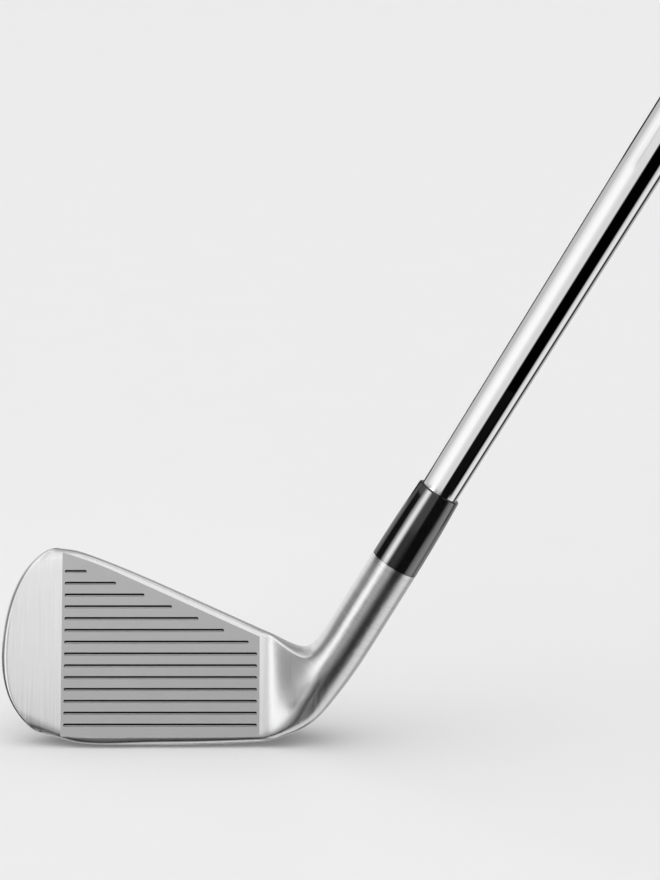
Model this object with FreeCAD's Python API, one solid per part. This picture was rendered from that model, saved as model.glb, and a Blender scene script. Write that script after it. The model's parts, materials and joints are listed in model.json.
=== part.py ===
# Long iron golf club, right-handed, at address: the sole is on the ground and the scoring lines are level.
# X runs from the toe (-X) to the heel and the shaft (+X), the face looks along -Y, and Z is up.
# The origin is the lowest point of the sole, below the middle of the scoring area. Lengths are in
# millimetres.
import FreeCAD, Part
import math
import os

V = FreeCAD.Vector

# --- driving dimensions -------------------------------------------------------------------------------------
LOFT = math.radians(21.0)
LIE = math.radians(59.0)
CLUB_LENGTH = 978.0           # from the ground to the end of the cap, along the shaft axis

# blade; a height up the face is measured from where the face's plane meets the ground
FACE_Y = -9.0                 # where that is
BLADE_T = 6.0                 # thickness of the blade below its top line
TOP_LINE, TOP_SLOPE = 45.9, 0.4516    # height of the top line above the origin, and its fall towards the heel
TOP_EDGE = (0.7, 1.7)         # two points of the face's upper edge, below the top line
LOW_EDGE = (4.0, 1.9)         # and two of its lower edge, above the sole
LOW_EDGE_TOE = (2.7, 1.15)    # the same near the toe, where the edge is sharper
FACE_SPREAD = (0.74, 0.5, 0.26)       # the points between them
EDGE_ROUND = 1.3              # rounding of the other long edges
SOLE_ROCKER = 0.0011          # how the sole rises on both sides of the origin
SOLE_BACK = 12.0              # the trailing edge
SWEEP_X, SWEEP = -5.0, 0.0065         # where the trailing edge starts to curve forwards, and how much
MUSCLE_SHARE = 0.42           # height of the thick part of the back, as a share of the blade's
LEDGE = 6.2                   # height of the slope between the muscle and the thin part

# toe: an upper ellipse and a lower, slightly squared one
FACE_MIDDLE = 24.5            # height of the toe's outermost point, up the face
TOE_END = -42.55
TOE_X, TOE_RISE, TOE_TOP_FULLNESS = -26.5, 31.0, 0.965
TOE_LOW_X, TOE_FALL, TOE_FULLNESS = -22.2, 22.6, 0.91
TOE_CROWN = 0.8               # how far the middle of the toe's wall bulges
TOE_SAG = 0.35                # how far the sole sags below a straight line between toe and blade
TOE_ARCH = 0.2                # and how far the top line rises above one
# where the points of a ring lie on the toe's outline, as an angle, and how thick the toe is there
TOE_ANGLES = (90, 82, 70, 50, 29, 8, -13, -34, -52.5, -57, -65, -74)
TOE_DEPTHS = (6.0, 6.0, 6.0, 6.2, 6.9, 7.9, 9.0, 10.3, 11.6, 12.9, 14.0, 15.0)
# how far inside the outline its two inner lines run, on the upper and on the lower part
TOE_INSETS, TOE_LOW_INSETS = (0.7, 2.1), (0.45, 1.3)

# face plate and scoring lines
PLATE_T = 2.5
PLATE_TOE, PLATE_HEEL = -25.65, 28.4
PLATE_TOP = 2.45              # from the top line to the plate
PLATE_LOW = 3.4               # from the ground to the plate, and how far its lower edge bows below that
PLATE_BOW = 0.3
BEND_X, BEND_DROOP = -10.0, 1.3      # where the plate's upper edge starts to droop, and how far it does
GROOVES = 14
GROOVE_PITCH = 3.228
GROOVE_LOWEST = 6.55
GROOVE_WIDTH, GROOVE_FLOOR = 0.85, 0.42       # at the face and at the bottom
GROOVE_DEPTH = 0.40
GROOVE_TOE, GROOVE_HEEL = -24.95, 27.7
# where the top groove ends, how much further each lower one goes, and the loss of that with the square
GROOVE_TOP_END, GROOVE_STEP, GROOVE_STEP_LOSS = -19.0, 8.2, 0.133

# the hollow behind the plate, and the muscle's deep pocket
RIM = 2.6                     # how far the plate rests on the body around the hollow
HOLLOW_TOE, HOLLOW_HEEL = PLATE_TOE + RIM, 24.5
UPPER_DEPTH = 3.8             # back of the hollow above the muscle, behind the face
POCKET_LOW = 3.4              # its floor
POCKET_CORNER, POCKET_CUT = 6.0, 4.0          # the height and the length of the floor's cut corners
POCKET_ROOF = 1.6             # wall left below the muscle's top
POCKET_ROUND = 1.5
# the pocket's back wall, as (x, y) from the toe to the heel
POCKET_BACK = ((HOLLOW_TOE, 5.2), (-12.0, 9.0), (-5.0, 9.6), (20.0, 9.8), (HOLLOW_HEEL, 8.0))
WEIGHT_SIZE = (12.0, 8.5, 6.5)
WEIGHT_Y, WEIGHT_Z = -1.2, 2.0

# fill port and its screw
PORT_Y, PORT_Z = 3.0, 20.5
PORT_HEAD_X, PORT_SEAT_X, PORT_SHANK_X = -40.9, -39.3, -32.0
PORT_HEAD_R, PORT_R = 2.6, 1.9
PORT_GAP = 0.05
KEY_R, KEY_DEPTH = 1.35, 2.2

# back badge
BADGE_X, BADGE_Z = 1.0, 10.6
BADGE_LENGTH, BADGE_HEIGHT, BADGE_CORNER = 31.0, 7.0, 2.2
BADGE_SEAT_Y = 11.9
BADGE_GAP = 0.12
TAPE_T = 0.15
TAPE_INSET = 0.5

# hosel, and the joint of head and shaft; distances along the shaft axis are from the ground
AXIS_X, AXIS_Y = 34.6, -3.6   # where the shaft axis meets the ground
HOSEL_TOP = 59.0
HOSEL_R = 6.65
HOSEL_LOW_SHARE = 0.80        # its front is that much narrower at the sole
HOSEL_FULL = 30.0             # and has its full radius from here up
BLEND = 3.0                   # reach of the blend between the face and the hosel
BORE_BOTTOM, DRILL_CONE = 26.0, 2.8
SHAFT_TIP = 28.0
BOND_T = 0.1                  # epoxy around the shaft tip
PLUG_R, PLUG_RIM_R, PLUG_RIM, PLUG_TOP = 4.15, 4.5, 1.6, 46.0
FERRULE_TOP = 82.5
FERRULE_TOP_R, FERRULE_EDGE = 6.05, 0.6
FERRULE_SWELL = 8.0           # it keeps nearly the hosel's radius up to here
FERRULE_GAP = 0.05

# shaft
TIP_R, NECK_R, LOWER_R, BUTT_R = 4.7, 5.2, 5.92, 7.62
NECK_END, TAPER_END = 82.5, 188.0
FIRST_STEP, STEP_PITCH, STEP_LENGTH = 228.0, 38.1, 1.0
STEPS = 10
SHAFT_WALL = 0.45
BAND_START, BAND_END, BAND_T = 630.0, 690.0, 0.06

# grip
GRIP_START = 708.0
MOUTH_R, LIP_R, LIP = 8.7, 9.3, 0.8
GRIP_R, CAP_R = 11.75, 15.3
FLARE, FLARE_SWELL = 50.0, 1.1
TAPE_START, TAPE_END, GRIP_TAPE_T = 715.0, 972.0, 0.1
CAP_T, CAP_EDGE = 3.6, 1.4
VENT_R = 1.75

# --- frames and small helpers -------------------------------------------------------------------------------
AXIS = V(math.cos(LIE), 0, math.sin(LIE))
INWARD = V(-math.sin(LIE), 0, math.cos(LIE))     # square to the axis, towards the toe
UP_FACE = V(0, math.sin(LOFT), math.cos(LOFT))
GROUND_POINT = V(AXIS_X, AXIS_Y, 0)
FAR = 60.0                    # beyond the head on every side
ROUND_MIDDLE = 1 - math.sqrt(0.5)     # from a square corner to the middle of its rounding, per unit of radius


def mix(a, b, t):
    return a + (b - a) * t


def on_face(x, h, w=0.0):
    """The point at h up the face from the ground line, and w behind it."""
    return V(x, FACE_Y + h * math.sin(LOFT) + w * math.cos(LOFT), h * math.cos(LOFT) - w * math.sin(LOFT))


def face_y(z):
    return FACE_Y + z * math.tan(LOFT)


def on_shaft(along, inward=0.0):
    return GROUND_POINT + AXIS * along + INWARD * inward


def line(a, b):
    return Part.LineSegment(a, b).toShape()


def arc(a, middle, b):
    return Part.Arc(a, middle, b).toShape()


def filled(edges):
    """The flat face inside a closed outline."""
    return Part.Face(Part.Wire(Part.__sortEdges__(edges)))


# --- the head's skin: rings of 22 control points, from the toe to the top of the hosel ----------------------
# Around a ring, point 0 is the middle of the top line, 2 to 8 go down the face, 9 to 12 go back along the
# sole, and 13 to 21 go up the back.
RING = 22
HALF_RING = RING // 2
FACE_POINTS = range(2, 9)
LOW_FACE_POINTS = (7, 8)
SOLE_POINTS = range(7, 15)
TOP_POINTS = (19, 20, 21, 0, 1, 2, 3)
ROUND = 3 / (2 + math.cos(2 * math.pi / RING))   # control points of a circle lie outside it by this factor
# the rings across the blade, from the first one behind the toe
TOE_RINGS_X = (-20, -12)
TOE_RINGS_DROP = (0.932, 0.3)         # how far the rounded corner of the top line is below its straight line
BLADE_RINGS_X = (-3, 7, 16, 22.5, 27, 30.6)
# from blade to hosel: each ring's point in the crotch and its point on the heel, as (x, z), and its roundness
FANS = (((32.6, 28.6), (34.6, 1.3), 0.10),
        ((36.6, 26.8), (40.6, 3.6), 0.30),
        ((40.3, 26.0), (45.1, 7.4), 0.55),
        ((42.9, 27.5), (49.0, 12.7), 0.80),
        ((45.5, 31.1), (53.8, 19.3), 0.95))
HOSEL_RINGS = (36, 42, 48, 54, HOSEL_TOP)


def top_line(x):
    """Height of the straight top line, up the face."""
    return TOP_LINE - TOP_SLOPE * x


def sole_height(x):
    return SOLE_ROCKER * x * x


def sole_back(x):
    """The trailing edge, which curves forwards at the toe."""
    return SOLE_BACK - SWEEP * max(SWEEP_X - x, 0.0) ** 2


def muscle_top(height):
    return MUSCLE_SHARE * height


def smooth_min(a, b, reach):
    gap = max(reach - abs(a - b), 0.0) / reach
    return min(a, b) - gap * gap * reach / 4


def hosel_front(x, z):
    """Front of the hosel, carried on towards the face as a slope of 45 degrees."""
    along = (x - AXIS_X) * AXIS.x + z * AXIS.z
    inward = (x - AXIS_X) * INWARD.x + z * INWARD.z
    radius = HOSEL_R * mix(HOSEL_LOW_SHARE, 1.0, min(max(along / HOSEL_FULL, 0.0), 1.0))
    turn = radius * math.sqrt(0.5)
    if inward > turn:
        return AXIS_Y - turn + (inward - turn)
    return AXIS_Y - math.sqrt(max(radius * radius - inward * inward, 0.0))


def front_y(x, z):
    return smooth_min(face_y(z), hosel_front(x, z), BLEND)


def face_heights(low, high, low_edge):
    """Heights of a ring's points 2 to 8."""
    spread = [mix(low + low_edge[0], high - TOP_EDGE[1], share) for share in FACE_SPREAD]
    return [high - TOP_EDGE[0], high - TOP_EDGE[1]] + spread + [low + low_edge[0], low + low_edge[1]]


def blade_ring(x, height, low_edge=LOW_EDGE):
    """Control points around the blade, at one distance from the middle."""
    low = sole_height(x)
    high = muscle_top(height)
    back = sole_back(x)
    ring = [None] * RING
    ring[0] = on_face(x, height + 0.2, BLADE_T / 2)
    ring[1] = on_face(x, height + 0.1, EDGE_ROUND - 0.2)
    for k, h in zip(FACE_POINTS, face_heights(low, height, low_edge)):
        p = on_face(x, h)
        ring[k] = V(x, front_y(x, p.z), p.z)
    # the sole
    ring[9] = V(x, FACE_Y + 1.7, low + 0.35)
    ring[10] = V(x, FACE_Y + 5.5, low - 0.1)
    ring[12] = V(x, back - 3.5, low + 0.7)
    ring[11] = V(x, (ring[10].y + ring[12].y) / 2, low - 0.05)
    # the muscle's back, which bulges by 1.4 in its middle
    ring[13] = V(x, back + 0.2, low + 2 * EDGE_ROUND)
    ring[14] = V(x, back + 1.0, low + 7.0)
    ring[16] = V(x, back + 1.0, high)
    ring[15] = V(x, back + 1.4, (ring[14].z + high) / 2)
    # over the ledge and up the thin part
    ring[17] = V(x, back - 0.4, high + 2 * EDGE_ROUND)
    ring[18] = on_face(x, (high + LEDGE) / math.cos(LOFT), BLADE_T + 0.2)
    ring[19] = on_face(x, mix(high + LEDGE, height, 0.6), BLADE_T - 0.2)
    ring[20] = on_face(x, height - EDGE_ROUND, BLADE_T)
    ring[21] = on_face(x, height - 0.1, BLADE_T - EDGE_ROUND)
    return ring


def toe_outline(angle):
    """A point of the toe's outline on the face, from below 0 degrees at the sole to 90 at the top line."""
    a = math.radians(angle)
    if a > 0:
        return on_face(mix(TOE_X, TOE_END, math.cos(a) ** TOE_TOP_FULLNESS),
                       FACE_MIDDLE + TOE_RISE * math.sin(a) ** TOE_TOP_FULLNESS)
    return on_face(mix(TOE_LOW_X, TOE_END, math.cos(a) ** TOE_FULLNESS),
                   FACE_MIDDLE - TOE_FALL * math.sin(-a) ** TOE_FULLNESS)


def toe_rings(blade):
    """The toe: the line that closes it, its wall, its two edges, and the rings that spread to the blade."""
    wall, edge, flat = [], [], []
    middle = on_face(TOE_LOW_X, FACE_MIDDLE)
    for k in range(RING):
        side = min(k, RING - k)
        depth = TOE_DEPTHS[side]
        corner = EDGE_ROUND if k < HALF_RING else depth - EDGE_ROUND - 0.4
        w = depth / 2 if side in (0, HALF_RING) else corner
        lean = max(math.sin(math.radians(TOE_ANGLES[side])), 0.0)
        on_edge = toe_outline(TOE_ANGLES[side])
        wall.append(on_edge + V(0, w * math.cos(LOFT), -w * math.sin(LOFT) * lean))
        if k in FACE_POINTS:
            inset = (middle - on_edge).normalize()
            near, far = TOE_LOW_INSETS if k in LOW_FACE_POINTS else TOE_INSETS
            edge.append(on_edge + inset * near)
            flat.append(on_edge + inset * far)
        else:
            edge.append(mix(wall[k], blade[k], 0.05))
            flat.append(mix(wall[k], blade[k], 0.14))
    closing = [(wall[k] + wall[-k]) * 0.5 for k in range(RING)]
    closing[0] -= V(TOE_CROWN, 0, 0)
    closing[HALF_RING] -= V(TOE_CROWN, 0, -0.3 * TOE_CROWN)
    return [closing, wall, edge, flat] + [spread_ring(flat, blade, t) for t in (0.36, 0.70)]


def spread_ring(flat, blade, t):
    """A ring part way from the toe to the blade, bulging at the sole and at the top line.

    Its face stays in the face's plane.
    """
    bulge = 4 * t * (1 - t)
    ring = []
    for k in range(RING):
        rise = TOE_ARCH if k in TOP_POINTS else -TOE_SAG if k in SOLE_POINTS else 0
        up = V(0, 0, 1) if k in SOLE_POINTS and k not in FACE_POINTS else UP_FACE
        ring.append(mix(flat[k], blade[k], t) + up * bulge * rise)
    return ring


def fan_ring(inner, outer, roundness, blade):
    """A ring between a point of the crotch and a point of the heel, part way from the blade to the hosel."""
    ring = []
    for k in range(RING):
        t = blade[k].z / blade[0].z
        x = mix(outer[0], inner[0], t)
        z = mix(outer[1], inner[1], t)
        y = front_y(x, z) if k in FACE_POINTS else blade[k].y
        a = 2 * math.pi * k / RING
        across = 0.5 + 0.5 * ROUND * math.cos(a)
        on_oval = V(mix(outer[0], inner[0], across), AXIS_Y - HOSEL_R * ROUND * math.sin(a),
                    mix(outer[1], inner[1], across))
        ring.append(mix(V(x, y, z), on_oval, roundness))
    return ring


def hosel_ring(along):
    turns = [2 * math.pi * k / RING for k in range(RING)]
    radius = HOSEL_R * ROUND
    return [on_shaft(along, radius * math.cos(a)) - V(0, radius * math.sin(a), 0) for a in turns]


def skin_rings():
    blades = [blade_ring(x, top_line(x) - drop, LOW_EDGE_TOE) for x, drop in zip(TOE_RINGS_X, TOE_RINGS_DROP)]
    blades += [blade_ring(x, top_line(x)) for x in BLADE_RINGS_X]
    fans = [fan_ring(inner, outer, roundness, blades[-1]) for inner, outer, roundness in FANS]
    return toe_rings(blades[0]) + blades + fans + [hosel_ring(along) for along in HOSEL_RINGS]


def head_skin():
    """The whole outside of the head, as a solid: a front and a back surface, and the top of the hosel."""
    rings = [ring[-1:] + ring[:-1] for ring in skin_rings()]
    spans = len(rings) - 3
    surface = Part.BSplineSurface()
    surface.buildFromPolesMultsKnots(rings, [4] + [1] * (spans - 1) + [4], [1] * (RING + 1),
                                     list(range(spans + 1)), list(range(RING + 1)), False, True, 3, 3)
    sides = []
    for start, end in ((0, HALF_RING), (HALF_RING, RING)):
        side = surface.copy()
        side.segment(0, spans, start, end)
        sides.append(side.toShape())
    edges = [edge for side in sides for edge in side.Edges]
    rim = [edge for edge in edges if (edge.CenterOfMass - on_shaft(HOSEL_TOP)).dot(AXIS) > -0.01]
    shell = Part.makeShell(sides + [filled(rim)])
    shell.sewShape()
    solid = Part.makeSolid(shell)
    if solid.Volume < 0:
        solid.reverse()
    return solid


# --- helpers for the other pieces ---------------------------------------------------------------------------
# Drawn flat as (x, h), an outline is then tilted onto the face: what is below the drawing ends up behind it.
TILT = FreeCAD.Placement(V(0, FACE_Y, 0), FreeCAD.Rotation(V(1, 0, 0), 90 - math.degrees(LOFT)))


def tilted(shape):
    shape.Placement = TILT.multiply(shape.Placement)
    return shape


def rounded(corners, radius):
    """The flat face through the corners, each one rounded by the same radius."""
    count = len(corners)
    arcs, starts, ends = [], [], []
    for i, here in enumerate(corners):
        back = (corners[i - 1] - here).normalize()
        ahead = (corners[(i + 1) % count] - here).normalize()
        half = math.acos(back.dot(ahead)) / 2
        middle = here + (back + ahead).normalize() * (radius / math.sin(half) - radius)
        starts.append(here + back * (radius / math.tan(half)))
        ends.append(here + ahead * (radius / math.tan(half)))
        arcs.append(arc(starts[i], middle, ends[i]))
    return filled(arcs + [line(ends[i - 1], starts[i]) for i in range(count)])


def turned(profile):
    """A solid of revolution about the shaft axis, from edges drawn in the plane of the axis."""
    solid = filled(profile).revolve(GROUND_POINT, AXIS, 360)
    return solid if solid.Volume > 0 else solid.reversed()


def polyline(points):
    """The closed profile through (distance along, radius) points."""
    corners = [on_shaft(along, radius) for along, radius in points]
    return [line(corners[i - 1], corners[i]) for i in range(len(corners))]


def tube(points_out, points_in):
    return turned(polyline(points_out + points_in[::-1]))


def sleeve(start, end, inner, thickness):
    """A plain tube around the shaft."""
    return tube([(start, inner + thickness), (end, inner + thickness)], [(start, inner), (end, inner)])


# --- the hollow head ----------------------------------------------------------------------------------------
def plate_edge(x, inset):
    """Height of the plate's upper edge: parallel to the top line, and drooping with it at the toe."""
    droop = BEND_DROOP * max(BEND_X - x, 0.0) ** 2 / (BEND_X - PLATE_TOE) ** 2
    return top_line(x) - PLATE_TOP - inset * math.hypot(1, TOP_SLOPE) - droop


def plate_face(inset, heel):
    """The plate's outline, or one inside it, drawn flat."""
    toe, low = PLATE_TOE + inset, PLATE_LOW + inset
    upper = [V(x, plate_edge(x, inset), 0) for x in (heel, BEND_X, (BEND_X + toe) / 2, toe)]
    toe_low, heel_low = V(toe, low, 0), V(heel, low, 0)
    return filled([line(upper[0], upper[1]),
                   arc(upper[1], upper[2], upper[3]),
                   line(upper[3], toe_low),
                   arc(toe_low, V(0, low - PLATE_BOW, 0), heel_low),
                   line(heel_low, upper[0])])


def slab(inset, heel, front, back):
    """The plate's outline as a solid, from one depth behind the face to another."""
    face = plate_face(inset, heel)
    face.translate(V(0, 0, -back))
    return tilted(face.extrude(V(0, 0, back - front)))


def groove_outline(index, level):
    """A scoring line's outline at one level: 0 at the face and negative inside it.  Its walls slope."""
    h = GROOVE_LOWEST + GROOVE_PITCH * index
    toe = GROOVE_TOE + GROOVE_WIDTH / 2
    below_top = GROOVES - 1 - index
    short_end = GROOVE_TOP_END + GROOVE_STEP * below_top - GROOVE_STEP_LOSS * below_top ** 2
    heel = min(GROOVE_HEEL, short_end) - GROOVE_WIDTH / 2
    r = mix(GROOVE_WIDTH, GROOVE_FLOOR, -level / GROOVE_DEPTH) / 2
    edges = [line(V(toe, h - r, level), V(heel, h - r, level)),
             arc(V(heel, h - r, level), V(heel + r, h, level), V(heel, h + r, level)),
             line(V(heel, h + r, level), V(toe, h + r, level)),
             arc(V(toe, h + r, level), V(toe - r, h, level), V(toe, h - r, level))]
    return Part.Wire(Part.__sortEdges__(edges))


def groove(index):
    """A scoring line as a solid, which stands out of the face by half its depth."""
    ends = [groove_outline(index, level) for level in (-GROOVE_DEPTH, GROOVE_DEPTH / 2)]
    return tilted(Part.makeLoft(ends, True, True))


def face_plate():
    return slab(0, PLATE_HEEL, 0, PLATE_T).cut(Part.makeCompound([groove(i) for i in range(GROOVES)]))


def muscle_pocket():
    """The deep part of the hollow, behind the face plate and inside the muscle."""
    roof = {x: muscle_top(top_line(x)) - POCKET_ROOF for x in (HOLLOW_TOE, HOLLOW_HEEL)}
    front_view = [V(HOLLOW_TOE, -FAR, POCKET_CORNER), V(POCKET_BACK[1][0] - POCKET_CUT, -FAR, POCKET_LOW),
                  V(HOLLOW_HEEL - POCKET_CUT, -FAR, POCKET_LOW), V(HOLLOW_HEEL, -FAR, POCKET_CORNER),
                  V(HOLLOW_HEEL, -FAR, roof[HOLLOW_HEEL]), V(HOLLOW_TOE, -FAR, roof[HOLLOW_TOE])]
    top_view = [V(HOLLOW_TOE, -FAR, 0)] + [V(x, y, 0) for x, y in POCKET_BACK] + [V(HOLLOW_HEEL, -FAR, 0)]
    block = rounded(front_view, POCKET_ROUND).extrude(V(0, 2 * FAR, 0))
    block = block.common(rounded(top_view, POCKET_ROUND).extrude(V(0, 0, FAR)))
    ahead = tilted(Part.makeBox(2 * FAR, 2 * FAR, FAR, V(-FAR, -FAR, -PLATE_T)))
    return block.cut(ahead)


def hollow():
    return slab(RIM, HOLLOW_HEEL, PLATE_T, UPPER_DEPTH).fuse(muscle_pocket()).removeSplitter()


def port(x_from, x_to, radius):
    return Part.makeCylinder(radius, x_to - x_from, V(x_from, PORT_Y, PORT_Z), V(1, 0, 0))


def port_screw():
    """A countersunk plug with a hexagon socket."""
    head = port(PORT_HEAD_X, PORT_SEAT_X, PORT_HEAD_R)
    shank = port(PORT_SEAT_X, PORT_SHANK_X, PORT_R)
    turns = [math.radians(60 * i) for i in range(7)]
    key = [V(PORT_HEAD_X, PORT_Y + KEY_R * math.cos(a), PORT_Z + KEY_R * math.sin(a)) for a in turns]
    socket = Part.Face(Part.makePolygon(key)).extrude(V(KEY_DEPTH, 0, 0))
    return head.fuse(shank).cut(socket).removeSplitter()


def port_channel(start):
    """The shank's hole, into the hollow."""
    return port(start, HOLLOW_TOE + 1, PORT_R)


def badge_prism(gap, start_y, end_y):
    x, z = BADGE_LENGTH / 2 - gap, BADGE_HEIGHT / 2 - gap
    corners = [V(BADGE_X + i * x, start_y, BADGE_Z + j * z) for i, j in ((-1, -1), (1, -1), (1, 1), (-1, 1))]
    return rounded(corners, BADGE_CORNER - gap).extrude(V(0, end_y - start_y, 0))


def back_badge(skin):
    return badge_prism(BADGE_GAP, BADGE_SEAT_Y + TAPE_T, FAR).common(skin)


def badge_tape():
    return badge_prism(TAPE_INSET, BADGE_SEAT_Y, BADGE_SEAT_Y + TAPE_T)


def shaft_radius(along):
    if along < NECK_END:
        return mix(TIP_R, NECK_R, (along - SHAFT_TIP) / (NECK_END - SHAFT_TIP))
    return mix(NECK_R, LOWER_R, min((along - NECK_END) / (TAPER_END - NECK_END), 1.0))


def hosel_bore():
    """The tapered bore for the shaft tip, with the drill's cone at its bottom."""
    low_r = shaft_radius(SHAFT_TIP) + BOND_T
    high_r = shaft_radius(HOSEL_TOP) + BOND_T
    return turned(polyline([(BORE_BOTTOM - DRILL_CONE, 0), (BORE_BOTTOM, low_r), (SHAFT_TIP, low_r),
                            (HOSEL_TOP, high_r), (HOSEL_TOP, 0)]))


def head_body(skin):
    body = skin.cut(slab(0, PLATE_HEEL, -FAR, PLATE_T))
    body = body.cut(hollow())
    body = body.cut(port(-FAR, PORT_SEAT_X, PORT_HEAD_R + PORT_GAP).fuse(port_channel(-FAR)))
    body = body.cut(badge_prism(0, BADGE_SEAT_Y, FAR))
    return body.cut(hosel_bore())


def toe_weight():
    """A dense slug on the floor of the hollow, at the toe."""
    block = Part.makeBox(*WEIGHT_SIZE, V(HOLLOW_TOE, WEIGHT_Y, WEIGHT_Z))
    return block.common(muscle_pocket())


def foam_core():
    return hollow().fuse(port_channel(PORT_SHANK_X)).cut(toe_weight()).removeSplitter()


# --- the joint of head and shaft ----------------------------------------------------------------------------
def tip_weight():
    """A plug in the shaft's tip, with a rim against the tip's end."""
    rim_low = SHAFT_TIP - PLUG_RIM
    return turned(polyline([(rim_low, 0), (rim_low, PLUG_RIM_R), (SHAFT_TIP, PLUG_RIM_R), (SHAFT_TIP, PLUG_R),
                            (PLUG_TOP, PLUG_R), (PLUG_TOP, 0)]))


def shaft():
    """A stepped tube: a tapered tip, a parallel length, then steps of equal height up to the butt."""
    outer = [(SHAFT_TIP, TIP_R), (NECK_END, NECK_R), (TAPER_END, LOWER_R)]
    rise = (BUTT_R - LOWER_R) / STEPS
    for i in range(STEPS):
        start = FIRST_STEP + STEP_PITCH * i
        outer += [(start, LOWER_R + rise * i), (start + STEP_LENGTH, LOWER_R + rise * (i + 1))]
    outer.append((CLUB_LENGTH - CAP_T, BUTT_R))
    inner = [(along, radius - SHAFT_WALL) for along, radius in outer]
    return tube(outer, inner)


def hosel_epoxy():
    """The glue that fills the bore around and below the shaft tip."""
    tip = turned(polyline([(SHAFT_TIP, 0), (SHAFT_TIP, TIP_R), (NECK_END, NECK_R), (NECK_END, 0)]))
    return hosel_bore().cut(tip).cut(tip_weight())


def ferrule():
    """Flush with the hosel at its foot, tapered, with a rounded top edge."""
    foot, top, edge = HOSEL_TOP, FERRULE_TOP, FERRULE_EDGE
    side_low, side_high = on_shaft(foot, HOSEL_R), on_shaft(top - edge, FERRULE_TOP_R)
    swell = on_shaft(foot + FERRULE_SWELL, HOSEL_R - 0.08)
    round_end = on_shaft(top, FERRULE_TOP_R - edge)
    round_middle = on_shaft(top - edge * ROUND_MIDDLE, FERRULE_TOP_R - edge * ROUND_MIDDLE)
    inner_low = on_shaft(foot, shaft_radius(foot) + FERRULE_GAP)
    inner_high = on_shaft(top, shaft_radius(top) + FERRULE_GAP)
    return turned([arc(side_low, swell, side_high), arc(side_high, round_middle, round_end),
                   line(round_end, inner_high), line(inner_high, inner_low), line(inner_low, side_low)])


# --- the band and the grip ----------------------------------------------------------------------------------
def shaft_band():
    return sleeve(BAND_START, BAND_END, BUTT_R, BAND_T)


def grip_tape():
    return sleeve(TAPE_START, TAPE_END, BUTT_R, GRIP_TAPE_T)


def grip_sleeve():
    """The rubber sleeve: a slow taper from its mouth, then a flare to the cap."""
    top = CLUB_LENGTH - CAP_T
    flare = top - FLARE
    bore = BUTT_R + GRIP_TAPE_T
    mouth, lip = on_shaft(GRIP_START, MOUTH_R), on_shaft(GRIP_START + LIP, LIP_R)
    start, end = on_shaft(flare, GRIP_R), on_shaft(top, CAP_R)
    bend = on_shaft((flare + top) / 2, GRIP_R + FLARE_SWELL)
    steps = ((top, BUTT_R), (TAPE_END, BUTT_R), (TAPE_END, bore), (TAPE_START, bore), (TAPE_START, BUTT_R),
             (GRIP_START, BUTT_R))
    inner = [on_shaft(along, radius) for along, radius in steps]
    edges = [line(mouth, lip), line(lip, start), arc(start, bend, end), line(end, inner[0])]
    edges += [line(inner[i], inner[i + 1]) for i in range(len(inner) - 1)]
    return turned(edges + [line(inner[-1], mouth)])


def grip_cap():
    """The end of the grip, with a rounded edge and the vent hole."""
    low, top, edge = CLUB_LENGTH - CAP_T, CLUB_LENGTH, CAP_EDGE
    side, round_start = on_shaft(low, CAP_R), on_shaft(top - edge, CAP_R)
    round_end = on_shaft(top, CAP_R - edge)
    round_middle = on_shaft(top - edge * ROUND_MIDDLE, CAP_R - edge * ROUND_MIDDLE)
    hole_top, hole_low = on_shaft(top, VENT_R), on_shaft(low, VENT_R)
    return turned([line(side, round_start), arc(round_start, round_middle, round_end),
                   line(round_end, hole_top), line(hole_top, hole_low), line(hole_low, side)])


def club():
    skin = head_skin()
    return {
        "head_body": head_body(skin), "face_plate": face_plate(), "foam_core": foam_core(),
        "toe_weight": toe_weight(), "port_screw": port_screw(), "back_badge": back_badge(skin),
        "badge_tape": badge_tape(), "ferrule": ferrule(), "hosel_epoxy": hosel_epoxy(),
        "tip_weight": tip_weight(), "shaft": shaft(), "shaft_band": shaft_band(),
        "grip_tape": grip_tape(), "grip_sleeve": grip_sleeve(), "grip_cap": grip_cap(),
    }


os.makedirs("parts", exist_ok=True)
for name, shape in club().items():
    shape.exportStep("parts/" + name + ".step")
    state = "valid" if shape.isValid() else "NOT VALID"
    print(name, state, len(shape.Solids), "solid(s)", round(shape.Volume, 1))
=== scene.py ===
import json
import math

import bmesh
import bpy
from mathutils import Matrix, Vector


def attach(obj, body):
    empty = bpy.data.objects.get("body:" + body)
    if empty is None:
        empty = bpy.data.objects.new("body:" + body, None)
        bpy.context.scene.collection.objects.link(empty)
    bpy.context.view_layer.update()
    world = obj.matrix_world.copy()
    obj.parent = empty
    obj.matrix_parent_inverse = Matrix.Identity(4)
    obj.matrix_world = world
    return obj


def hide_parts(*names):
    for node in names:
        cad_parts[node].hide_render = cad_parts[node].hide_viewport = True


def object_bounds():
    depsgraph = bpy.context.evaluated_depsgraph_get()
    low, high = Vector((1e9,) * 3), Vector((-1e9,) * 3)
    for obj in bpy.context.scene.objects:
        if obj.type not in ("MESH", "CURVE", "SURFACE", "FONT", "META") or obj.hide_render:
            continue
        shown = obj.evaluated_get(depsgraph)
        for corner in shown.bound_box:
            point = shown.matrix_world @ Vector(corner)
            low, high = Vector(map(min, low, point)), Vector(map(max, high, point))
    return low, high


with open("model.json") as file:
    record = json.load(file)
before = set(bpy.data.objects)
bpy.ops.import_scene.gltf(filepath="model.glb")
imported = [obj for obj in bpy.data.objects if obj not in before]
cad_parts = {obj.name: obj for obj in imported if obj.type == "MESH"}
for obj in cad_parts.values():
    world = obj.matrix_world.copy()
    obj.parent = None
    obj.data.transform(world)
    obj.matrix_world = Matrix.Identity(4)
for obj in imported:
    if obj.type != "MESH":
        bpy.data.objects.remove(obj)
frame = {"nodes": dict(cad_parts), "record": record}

# The looks of an iron golf club, around its CAD frame.  Lengths here are metres, except in the
# materials, whose patterns are laid out in millimetres.

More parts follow.
